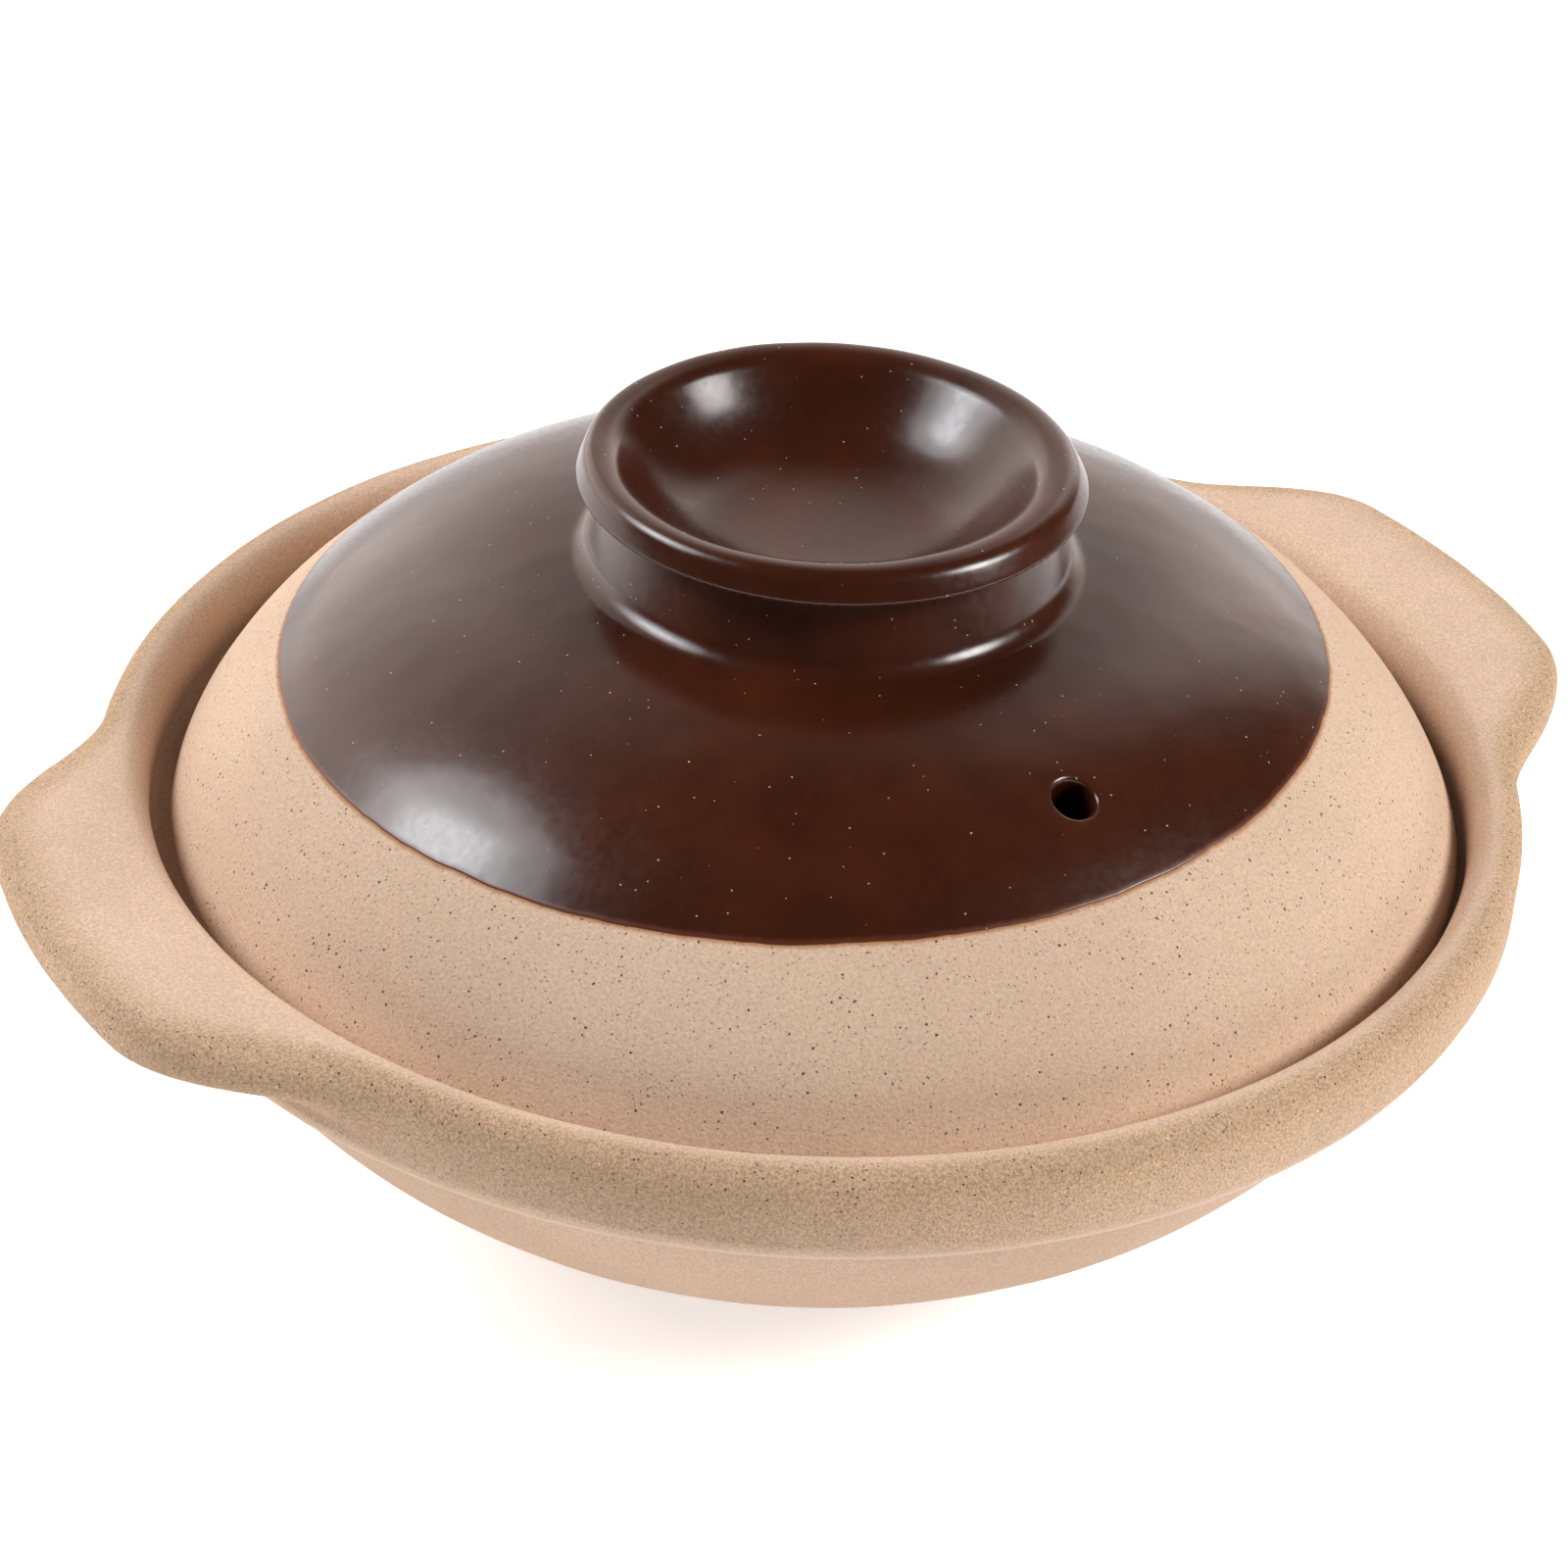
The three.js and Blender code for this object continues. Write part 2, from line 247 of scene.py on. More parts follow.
class StageSettings(bpy.types.PropertyGroup):
    """The camera, the lamps and the floor."""

    aim_height: length("Aim height", "Height of the point that the camera circles", 47.5 * MM)
    distance: length("Distance", "From that point to the camera", 523.66 * MM)
    azimuth: angle("Azimuth", "Where the camera stands, from -Y towards +X", -30)
    elevation: angle("Elevation", "How far the camera looks down", 32.565)
    pan: angle("Pan", "Turn of the camera to the left", 0.35)
    tilt: angle("Tilt", "Turn of the camera upwards", -0.3836)
    roll: angle("Roll", "Turn of the camera about its own axis", 3.08)
    lens: FloatProperty(
        name="Lens", description="Focal length on a 36 mm sensor", default=94.5, unit="CAMERA"
    )
    left_turn: angle("Left lamp turn", "Where the left lamp is, from the camera", -91)
    left_height: angle("Left lamp height", "How high the left lamp stands", 43)
    right_turn: angle("Right lamp turn", "Where the right lamp is, from the camera", 76)
    right_height: angle("Right lamp height", "How high the right lamp stands", 35)
    ambient: number("Ambient", "Light from all round", 0.03)
    backdrop: number("Backdrop", "Light of the backdrop at its foot", 1.8)
    backdrop_turn: angle("Backdrop turn", "Where the middle of the backdrop is, from the camera", 203)
    floor_radius: length("Floor radius", "Radius of the floor", 4.0)


class CasseroleSettings(bpy.types.PropertyGroup):
    """All that a user may change."""

    pot: PointerProperty(type=PotSizes)
    lid: PointerProperty(type=LidSizes)
    knob: PointerProperty(type=KnobSizes)
    glaze: PointerProperty(type=GlazeSizes)
    finishes: PointerProperty(type=Finishes)
    stage: PointerProperty(type=StageSettings)


# Outlines


def at(r, z):
    """A point of an outline."""
    return Vector((r, 0.0, z))


def arc(centre, radius, start, end, steps=ROUND_STEPS):
    """Points on an arc, from one angle to the other, in degrees from +r towards +z."""
    turns = [math.radians(start + (end - start) * i / steps) for i in range(steps + 1)]
    return [centre + radius * at(math.cos(turn), math.sin(turn)) for turn in turns]


def right_of(way):
    """The direction to the right of a way along an outline."""
    return at(way.z, -way.x).normalized()


def bow(start, end, bulge, steps):
    """Points on an arc that stands out by bulge to the right of the straight way."""
    half = (end - start).length / 2
    radius = (half * half + bulge * bulge) / (2 * bulge)
    centre = (start + end) / 2 + right_of(end - start) * (bulge - radius)
    spokes = [(start - centre).slerp(end - centre, i / steps) for i in range(steps + 1)]
    return [centre + spoke.normalized() * radius for spoke in spokes]


def rounded(corners, steps=ROUND_STEPS):
    """A path through (point, rounding) corners, with an arc at each corner that has a rounding."""
    path = [corners[0][0]]
    for (before, _), (corner, radius), (after, _) in zip(corners, corners[1:], corners[2:]):
        back = (before - corner).normalized()
        ahead = (after - corner).normalized()
        half = back.angle(ahead) / 2
        centre = corner + (back + ahead).normalized() * radius / math.sin(half)
        reach = radius / math.tan(half)
        first = corner + back * reach - centre
        last = corner + ahead * reach - centre
        path += [centre + first.slerp(last, i / steps) * radius for i in range(steps + 1)]
    return path + [corners[-1][0]]


def filled(path, step=OUTLINE_STEP):
    """The same path, with points added where two of them are further apart than a step."""
    points = [path[0]]
    for start, end in zip(path, path[1:]):
        count = max(1, math.ceil((end - start).length / step))
        points += [start.lerp(end, i / count) for i in range(1, count + 1)]
    return points


def clamped(value):
    """A share kept between 0 and 1."""
    return min(max(value, 0.0), 1.0)


def smooth(value):
    """A share kept between 0 and 1 that starts and ends gently."""
    share = clamped(value)
    return share * share * (3 - 2 * share)


def even(path, count):
    """Points that part a path into equal lengths."""
    marks = [0.0]
    for start, end in zip(path, path[1:]):
        marks.append(marks[-1] + (end - start).length)
    points = []
    place = 0
    for i in range(count + 1):
        wanted = marks[-1] * i / count
        while place < len(path) - 2 and marks[place + 1] < wanted:
            place += 1
        share = (wanted - marks[place]) / (marks[place + 1] - marks[place])
        points.append(path[place].lerp(path[place + 1], share))
    return points


def moved(path, distance):
    """The same path, moved to the right of the way it runs. A point on the axis stays on the axis."""
    points = []
    for i, point in enumerate(path):
        way = path[min(i + 1, len(path) - 1)] - path[max(i - 1, 0)]
        side = right_of(way) * distance
        points.append(at(0.0 if point.x == 0.0 else point.x + side.x, point.z + side.z))
    return points


# Meshes


def spun(path, segments, start=0.0):
    """A mesh of a path turned round the axis, whose vertices know their row in the path."""
    bm = bmesh.new()
    row = bm.verts.layers.int.new("row")
    turn = Matrix.Rotation(start, 3, "Z")
    verts = [bm.verts.new(turn @ point) for point in path]
    for i, vert in enumerate(verts):
        vert[row] = i
    edges = [bm.edges.new(pair) for pair in zip(verts, verts[1:])]
    bmesh.ops.spin(
        bm,
        geom=verts + edges,
        cent=(0, 0, 0),
        axis=(0, 0, 1),
        angle=FULL_TURN,
        steps=segments,
        use_merge=True,
    )
    bmesh.ops.remove_doubles(bm, verts=bm.verts, dist=0.001 * MM)
    bmesh.ops.recalc_face_normals(bm, faces=bm.faces)
    return bm


def face_up(bm):
    """Turns an open coat so that its middle faces up."""
    middle = min(bm.faces, key=lambda face: face.calc_center_median().xy.length)
    if middle.normal.z < 0:
        bmesh.ops.reverse_faces(bm, faces=bm.faces)


def stray(bm, ground=0.0):
    """Moves a surface a little off its true form, as hands leave it. What lies on the ground stays flat."""
    bm.normal_update()
    for vert in bm.verts:
        if vert.co.z > ground:
            amount = noise.noise(vert.co / STRAY_LENGTH) + 0.4 * noise.noise(vert.co * 3.1 / STRAY_LENGTH)
            vert.co += vert.normal * STRAY * amount


def piece(name, bm, material, body, nodes):
    """Makes a mesh into a piece that rides on a body in place of the part's own nodes."""
    for face in bm.faces:
        face.smooth = True
    mesh = bpy.data.meshes.new(name)
    bm.to_mesh(mesh)
    bm.free()
    mesh.materials.append(material)
    made = bpy.data.objects.new(name, mesh)
    bpy.context.scene.collection.objects.link(made)
    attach(made, body)
    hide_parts(*nodes)
    return made


def bedded(made, glaze):
    """Gives an open coat its thickness, down into the clay."""
    solidify = made.modifiers.new("Coat", "SOLIDIFY")
    solidify.thickness = glaze.thickness + glaze.bedding
    solidify.offset = -1.0


# Pot


def pot_marks(pot):
    """Points of the pot's section that several outlines share."""
    collar_bottom = pot.height - pot.collar_height
    edge = at(pot.rim_radius - pot.edge_inset, collar_bottom)
    return {
        "lip": at(pot.rim_radius - pot.collar_wall / 2, pot.height - pot.collar_wall / 2),
        "crown": at(pot.rim_radius - pot.collar_wall / 2, pot.height),
        "edge": edge,
        "bowl_top": at(edge.x - pot.overhang, collar_bottom - pot.undercut),
        "band": at(pot.rim_radius, collar_bottom + pot.edge_height),
        "base": at(pot.base_radius, 0.0),
        "ledge_back": at(pot.rim_radius - pot.collar_wall, pot.height - pot.ledge_depth),
        "ledge_front": at(pot.rim_radius - pot.collar_wall - pot.ledge_width, pot.height - pot.ledge_depth),
        "floor_edge": at(pot.base_radius - pot.floor_inset, pot.floor),
    }


def bowl_inside(pot):
    """Up the inside of the bowl, from the edge of its floor to the edge of the ledge."""
    marks = pot_marks(pot)
    start = marks["floor_edge"]
    end = marks["ledge_front"] - at(0.0, pot.ledge_edge)
    base = marks["base"]
    bowl_top = marks["bowl_top"]
    outer_middle = (base + bowl_top) / 2 + right_of(bowl_top - base) * pot.bulge
    room = (outer_middle - (start + end) / 2).dot(right_of(end - start))
    return bow(start, end, room - pot.wall, 44)


def rim_outlines(pot):
    """The outside of the rim, from the collar's band to the crown: plain, and through an ear's middle."""
    marks = pot_marks(pot)
    start = marks["band"] + at(0.0, pot.edge_inset)
    side = at(pot.rim_radius, marks["lip"].z)
    plain_side = even([start, side], RIM_STEPS)
    plain_lip = even(arc(marks["lip"], pot.collar_wall / 2, 0, 90, 24), RIM_STEPS)
    tip = pot.rim_radius + pot.ear_reach
    top = pot.height + pot.ear_rise
    under = top - pot.ear_thickness
    middle = at(tip, top - pot.ear_thickness / 2)
    root = at(pot.rim_radius, under - pot.ear_rise)
    corner = (at(tip, under), pot.ear_edge)
    lower = rounded([(start, 0), (root, pot.ear_bend), corner, (middle, 0)], 16)
    inwards = bow(at(tip - pot.ear_edge, top), marks["crown"], pot.ear_bow, 12)
    upper = rounded([(middle, 0), (at(tip, top), pot.ear_edge), (inwards[1], 0)], 16) + inwards[2:]
    plain = plain_side + plain_lip[1:]
    ear = even(lower, RIM_STEPS) + even(upper, RIM_STEPS)[1:]
    return plain, ear


def pot_outline(pot):
    """The pot's section from the middle of its base to the middle of its floor, and the rim's first row."""
    marks = pot_marks(pot)
    plain, _ = rim_outlines(pot)
    wall = bow(marks["base"], marks["bowl_top"], pot.bulge, 48)
    base = filled([at(0, 0), marks["base"] - at(2 * MM, 0)], 4 * MM)
    collar = rounded(
        [
            (wall[-2], 0),
            (marks["bowl_top"], pot.overhang_bend),
            (marks["edge"], pot.edge_round),
            (marks["band"], pot.band_bend),
            (plain[0], 0),
        ]
    )
    below = base + wall[1:-2] + filled(collar[:-1])
    half = pot.collar_wall / 2
    turns = [math.pi / 2 * (1 + i / LIP_STEPS) for i in range(1, LIP_STEPS + 1)]
    rolls = [at(half * math.cos(turn), pot.lip_roll * (math.sin(turn) - 1)) for turn in turns]
    lip = [marks["crown"] + roll for roll in rolls]
    ledge = rounded(
        [
            (lip[-1], 0),
            (marks["ledge_back"], pot.ledge_bend),
            (marks["ledge_front"], pot.ledge_edge),
            (marks["ledge_front"] - at(0, 2 * pot.ledge_edge), 0),
        ]
    )
    inside = bowl_inside(pot)[::-1]
    floor = filled([inside[-1], at(0, pot.floor)], FLAT_STEP)
    return below + plain + lip[:-1] + filled(ledge[:-1]) + inside[2:-1] + floor, len(below)


def ear_ease(pot, co):
    """How far a place round the axis is out on an ear: 0 off the ears, 1 along an ear's blunt end."""
    root = math.asin(pot.ear_root_width / 2 / pot.rim_radius)
    tip = math.asin(pot.ear_tip_width / 2 / (pot.rim_radius + pot.ear_reach))
    return smooth((root - math.atan2(abs(co.y), abs(co.x))) / (root - tip))


def draw_out_ears(bm, pot, path, first):
    """Draws the rim out into the two ears and notes its wear and painted light: below 0 on its pale lower
    edge, painted lighter over the shade under the collar, and above 0 up the band, where worn grit and
    painted shade grow.
    """
    row = bm.verts.layers.int["row"]
    wear_and_painted_light = bm.verts.layers.float.new("wear_and_painted_light")
    plain, ear = rim_outlines(pot)
    marks = pot_marks(pot)
    for vert in bm.verts:
        i = vert[row] - first
        ease = ear_ease(pot, vert.co)
        point = path[vert[row]]
        # Lower edge: partly worn clay, partly a painted highlight that hides the shade under the collar
        if i < 0 and point.x > marks["edge"].x - EDGE_REACH:
            above = (point.z - marks["edge"].z - PALE_EDGE) / MM
            vert[wear_and_painted_light] = min(max(above, -1.0), WEAR_AND_SHADE_FOOT)
        elif len(plain) <= i < len(plain) + LIP_STEPS - 1:
            inwards = marks["crown"].x - point.x
            vert.co.z -= EAR_SLOPE * ease * inwards * (1 - 2 * inwards / pot.collar_wall)
        elif 0 <= i < len(plain):
            place = plain[i].lerp(ear[i], ease)
            outward = vert.co.xy.normalized() * place.x
            vert.co = Vector((outward.x, outward.y, place.z))
            # Up the band: worn grit and painted shade, fading on the lip and weaker round the ears
            above = (i / RIM_STEPS - WEAR_AND_SHADE_END + EAR_WEAR_AND_SHADE_LESS * ease) / WEAR_AND_SHADE_FADE
            vert[wear_and_painted_light] = min(1.0, WEAR_AND_SHADE_FOOT + WEAR_AND_SHADE_RISE * i / RIM_STEPS) * clamped(1 - above)


# Lid


def dome(lid, r):
    """Height of the dome above the lid's seat."""
    fall = max(0.0, 1 - (r / lid.radius) ** lid.crown)
    return lid.edge + lid.rise * fall ** (1 / lid.shoulder)


def dome_radius(lid, z):
    """Radius at which the dome has a height."""
    return lid.radius * (1 - ((z - lid.edge) / lid.rise) ** lid.shoulder) ** (1 / lid.crown)


def hollow(lid, r):
    """Height of the lid's underside above its seat."""
    fall = max(0.0, 1 - (r / hollow_radius(lid)) ** lid.crown)
    return (lid.edge + lid.rise - lid.wall) * fall ** (1 / lid.shoulder)


def hollow_radius(lid):
    """Inner radius of the ring that the lid sits on."""
    return lid.radius - lid.edge - lid.seat_width


def slope(height, lid, r):
    """Angle by which a dome falls at a radius."""
    reach = 0.01 * MM
    return math.atan2(height(lid, r - reach) - height(lid, r + reach), 2 * reach)


def dome_stretch(height, lid, limit, start, end, count):
    """Evenly spaced points on a dome, from one radius to another."""
    turns = [math.asin(start / limit), math.asin(min(end / limit, 1.0))]
    fine = [limit * math.sin(turns[0] + (turns[1] - turns[0]) * i / 240) for i in range(241)]
    return even([at(r, height(lid, r)) for r in fine], count)


def vent_spots(lid):
    """Where the vent's axis meets the dome and the hollow, in the plane of the vent, and its slant."""
    slant = slope(dome, lid, lid.vent_reach)
    out = at(lid.vent_reach, dome(lid, lid.vent_reach))
    axis = at(math.sin(slant), math.cos(slant))
    spot = out
    for _ in range(20):
        spot = spot - axis * (spot.z - hollow(lid, spot.x))
    return out, spot, slant


def vent_rows(height, lid, limit, spot, start, end, counts):
    """Points on a dome from start to end, with rows that square up round the vent."""
    half = VENT_CELLS * FULL_TURN * lid.vent_reach / LID_SEGMENTS
    reach = half * math.cos(slope(height, lid, spot.x))
    first = dome_stretch(height, lid, limit, start, spot.x - reach, counts[0])
    middle = dome_stretch(height, lid, limit, spot.x - reach, spot.x + reach, 2 * VENT_CELLS)
    last = dome_stretch(height, lid, limit, spot.x + reach, end, counts[1])
    return first + middle[1:] + last[1:]


def open_vent(bm, lid, spot, slant, radius):
    """Opens a round hole in a dome, square to the vent's axis, and gives the edges round it."""
    turn = Matrix.Rotation(lid.vent_angle, 3, "Z")
    centre = turn @ spot
    axis = turn @ at(math.sin(slant), math.cos(slant))
    across = turn @ Vector((0, 1, 0))
    along = axis.cross(across)
    half = VENT_CELLS * FULL_TURN * lid.vent_reach / LID_SEGMENTS
    tree = BVHTree.FromBMesh(bm)
    depth = lid.wall / 3
    square = half * (1 + 0.5 / VENT_CELLS)
    inner = set()
    for vert in bm.verts:
        spoke = vert.co - centre
        if spoke.length >= 3 * half or abs(spoke.dot(axis)) >= depth:
            continue
        u = spoke.dot(across)
        v = spoke.dot(along)
        ring = max(abs(u), abs(v))
        if ring < square:
            inner.add(vert)
        ease = smooth((ring - half) / half)
        grown = (1 - ease) * radius / half * ring / max(math.hypot(u, v), MM / 1000) + ease
        above = centre + (across * u + along * v) * grown + axis * depth
        vert.co = tree.ray_cast(above, -axis, 2 * depth)[0]
    faces = [face for face in bm.faces if all(v in inner for v in face.verts)]
    bmesh.ops.delete(bm, geom=faces, context="FACES")
    rim = [e for e in bm.edges if e.is_boundary and all(v in inner for v in e.verts)]
    for vert in {v for e in rim for v in e.verts}:
        spoke = vert.co - centre
        height = spoke.dot(axis)
        vert.co = centre + (spoke - axis * height).normalized() * radius + axis * height
    return rim, centre, axis


def sink(bm, rim, centre, axis, steps):
    """Draws the edges round a hole inwards and down, by (inwards, down) steps."""
    for inwards, down in steps:
        grown = bmesh.ops.extrude_edge_only(bm, edges=rim)["geom"]
        rim = [made for made in grown if isinstance(made, bmesh.types.BMEdge)]
        for vert in {v for e in rim for v in e.verts}:
            spoke = vert.co - centre
            spoke -= axis * spoke.dot(axis)
            vert.co -= spoke.normalized() * inwards + axis * down
    return rim


def lip_steps(lip, steps=6):
    """Steps inwards and down of a rounded lip."""
    turns = [math.pi / 2 * i / steps for i in range(steps + 1)]
    return [
        (lip * (math.sin(b) - math.sin(a)), lip * (math.cos(a) - math.cos(b)))
        for a, b in zip(turns, turns[1:])
    ]


def knob_skin(lid, knob, glaze):
    """The knob's glazed outside, from the middle of its cup to where its foot meets the dome."""
    top = lid.edge + lid.rise + knob.height
    lean = math.degrees(knob.cup_wall)
    crest = arc(at(knob.cup_radius, top - knob.cup_edge), knob.cup_edge, 90 + lean, 90, 16)
    steep = math.tan(knob.cup_wall)
    bend = at(knob.cup_bend, crest[0].z - steep * (crest[0].x - knob.cup_bend))
    deep = steep * knob.cup_bend / knob.cup_fullness
    shares = [i / 32 for i in range(33)]
    cup = [at(bend.x * s, bend.z - deep + deep * s**knob.cup_fullness) for s in shares]
    edge = at(knob.neck_radius + knob.overhang, top - knob.lip_edge)
    shoulder = at(edge.x - knob.lip_slope, top)
    foot_radius = knob.neck_radius + knob.foot * math.cos(knob.neck_lean)
    fall = slope(dome, lid, foot_radius)
    foot_end = foot_radius - knob.foot * math.sin(fall)
    foot_middle = dome(lid, foot_end) + glaze.thickness / math.cos(fall) + knob.foot * math.cos(fall)
    foot_start = 180 + math.degrees(knob.neck_lean)
    foot = arc(at(foot_radius, foot_middle), knob.foot, foot_start, 270 - math.degrees(fall), 16)
    waist_height = edge.z - knob.undercut
    waist = at(knob.neck_radius - (waist_height - foot[0].z) * math.tan(knob.neck_lean), waist_height)
    lip = rounded(
        [
            (crest[-1], 0),
            (shoulder, knob.lip_outer),
            (edge, knob.lip_under),
            (waist, knob.neck_bend),
            (foot[0], 0),
        ]
    )
    return filled(cup + crest + lip[1:-1] + foot, KNOB_STEP), foot_end, edge


def shift_cup(bm, lid, knob):
    """Moves the cup off the middle of the knob, as a thrower's hand leaves it."""
    crown = lid.edge + lid.rise
    edge = knob.neck_radius + knob.overhang
    way = Vector((math.cos(knob.cup_turn), math.sin(knob.cup_turn), 0.0)) * knob.cup_shift
    for vert in bm.verts:
        r = vert.co.xy.length
        on_lip = vert.co.z > crown + knob.height - knob.lip_edge
        if vert.co.z > crown and (on_lip or r < CUP_SHARE * knob.neck_radius):
            vert.co += way * clamped((edge - r) / (edge - knob.cup_radius))


def dip_edge(lid, glaze, co):
    """Radius at which the dip's edge lies on the dome, at a place round the axis."""
    level = lid.edge + glaze.dip_height
    out = co.xy.normalized()
    low = Vector((-math.cos(glaze.dip_turn), -math.sin(glaze.dip_turn)))
    level -= math.tan(glaze.dip_tilt) * dome_radius(lid, level) * out.dot(low)
    place = Vector((out.x, out.y, 0.0))
    waver = noise.noise(place * 5.0) + 0.6 * noise.noise(place * 14.0) + 0.5 * noise.noise(place * 41.0)
    return dome_radius(lid, level + glaze.dip_waver * waver)


def coat_lift(glaze, distance):
    """How far a coat stands out from the clay at a distance from its edge."""
    bead = math.sqrt(1 - (1 - clamped(distance / glaze.bead)) ** 2)
    return glaze.thickness * (BEAD_SHARE * bead + (1 - BEAD_SHARE) * smooth(distance / glaze.feather))


# Materials


def node(tree, kind, inputs=None, **settings):
    """Adds a node. An input is a value, or another node's output that is linked to it."""
    made = tree.nodes.new(kind)
    for key, value in settings.items():
        setattr(made, key, value)
    for key, value in (inputs or {}).items():
        if isinstance(value, bpy.types.NodeSocket):
            tree.links.new(value, made.inputs[key])
        else:
            made.inputs[key].default_value = value
    return made


def maths(tree, operation, first, second=0.0, third=0.0):
    """A sum on up to three values."""
    made = node(tree, "ShaderNodeMath", {0: first, 1: second, 2: third}, operation=operation)
    return made.outputs[0]


def ranged(tree, value, low, high, to_low=0.0, to_high=1.0, curve="SMOOTHSTEP"):
    """A value brought from one range to another."""
    inputs = {"Value": value, "From Min": low, "From Max": high, "To Min": to_low, "To Max": to_high}
    return node(tree, "ShaderNodeMapRange", inputs, interpolation_type=curve).outputs["Result"]


def mixed(tree, factor, first, second, blend="MIX"):
    """Two colours mixed."""
    made = node(tree, "ShaderNodeMix", data_type="RGBA", blend_type=blend)
    for index, value in ((0, factor), (6, first), (7, second)):
        if isinstance(value, bpy.types.NodeSocket):
            tree.links.new(value, made.inputs[index])
        else:
            made.inputs[index].default_value = value
    return made.outputs[2]


def rgba(value):
    """A colour with its alpha."""
    return (*value, 1.0)


def new_material(name):
    """A material with an empty tree but for its shader, and Object coordinates to read."""
    material = bpy.data.materials.new(name)
    material.use_nodes = True
    tree = material.node_tree
    coords = node(tree, "ShaderNodeTexCoord").outputs["Object"]
    return material, tree, tree.nodes["Principled BSDF"], coords


def dressed(tree, shader, body, height, strength, depth):
    """Puts a colour and a relief on a shader."""
    bump = node(tree, "ShaderNodeBump", {"Strength": strength, "Distance": depth, "Height": height})
    tree.links.new(body, shader.inputs["Base Color"])
    tree.links.new(bump.outputs["Normal"], shader.inputs["Normal"])


def clouds(tree, coords, size, detail=3.0, roughness=0.55):
    """Soft noise with features of about a size in metres."""
    inputs = {"Vector": coords, "Scale": 1 / size, "Detail": detail, "Roughness": roughness}
    return node(tree, "ShaderNodeTexNoise", inputs).outputs["Fac"]


def toned(tree, body, patch, dull, bright):
    """A colour that is duller in some patches and brighter in others."""
    tone = mixed(tree, ranged(tree, patch, 0.35, 0.65), rgba(dull), rgba((bright, bright, bright)))
    return mixed(tree, 1.0, body, tone, "MULTIPLY")


def rough(tree, coords, size):
    """Coordinates that stray by about a size, to make round grains uneven."""
    stray_way = node(tree, "ShaderNodeTexNoise", {"Vector": coords, "Scale": 0.5 / size, "Detail": 1.0})
    inputs = {0: stray_way.outputs["Color"], 1: (3 * size, 3 * size, 3 * size), 2: coords}
    return node(tree, "ShaderNodeVectorMath", inputs, operation="MULTIPLY_ADD").outputs[0]


def grains(tree, coords, spacing, share, radius):
    """Grains scattered in cells of a spacing. A share of the cells has one, 1 at its middle."""
    cells = node(tree, "ShaderNodeTexVoronoi", {"Vector": coords, "Scale": 1 / spacing})
    pick = node(tree, "ShaderNodeSeparateColor", {"Color": cells.outputs["Color"]})
    chosen = maths(tree, "LESS_THAN", pick.outputs[0], share)
    size = ranged(tree, pick.outputs[1], 0.0, 1.0, 0.5 * radius / spacing, radius / spacing, "LINEAR")
    near = maths(tree, "DIVIDE", cells.outputs["Distance"], size)
    return maths(tree, "MULTIPLY", chosen, ranged(tree, near, 0.55, 1.0, 1.0, 0.0))


def pot_clay_material(finishes):
    """Sandy bare clay, with dark and pale grit that shows most where the rim is worn, painted shade that
    darkens and warms the collar's band, and a painted highlight along its lower edge.
    """
    material, tree, shader, coords = new_material("sandy_clay")
    wear_and_painted_light = node(tree, "ShaderNodeAttribute", attribute_name="wear_and_painted_light").outputs["Fac"]
    sand = clouds(tree, coords, 0.35 * MM, 3.0, 0.7)
    patch = clouds(tree, coords, 26 * MM, 4.0)
    uneven = rough(tree, coords, 0.06 * MM)
    dark = grains(tree, uneven, 0.65 * MM, 0.6, 0.21 * MM)
    pale = grains(tree, uneven, 0.65 * MM, 0.65, 0.22 * MM)
    coarse = ranged(tree, wear_and_painted_light, 0.0, 1.0, 0.2, 1.0, "LINEAR")
    clay = Vector(finishes.pot_clay)
    # Painted shade: the sand darkens up the collar's band
    low = mixed(tree, wear_and_painted_light, rgba(0.86 * clay), rgba(0.7 * clay))
    body = mixed(tree, ranged(tree, sand, 0.35, 0.65), low, rgba(1.14 * clay))
    body = toned(tree, body, patch, (0.95, 0.945, 0.935), 1.03)
    # Painted shade: a warmer, darker tint over the band
    body = mixed(tree, wear_and_painted_light, body, rgba((1.0, 0.93, 0.8)), "MULTIPLY")
    body = mixed(tree, maths(tree, "MULTIPLY", pale, coarse), body, rgba(finishes.pot_grit_pale))
    body = mixed(tree, maths(tree, "MULTIPLY", dark, coarse), body, rgba(finishes.pot_grit_dark))
    # Painted highlight: the pale lower edge of the collar, partly worn clay
    body = mixed(tree, ranged(tree, wear_and_painted_light, -1.0, 0.0, 0.85, 0.0), body, rgba(finishes.pot_edge_wear_and_light))
    height = maths(tree, "MULTIPLY_ADD", pale, 0.5, sand)
    height = maths(tree, "MULTIPLY_ADD", dark, -0.7, height)
    height = maths(tree, "MULTIPLY", height, ranged(tree, wear_and_painted_light, 0.0, 1.0, 0.5, 1.0, "LINEAR"))
    dressed(tree, shader, body, height, 1.0, 0.36 * MM)
    shader.inputs["Roughness"].default_value = 0.95
    shader.inputs["Specular IOR Level"].default_value = 0.25
    return material


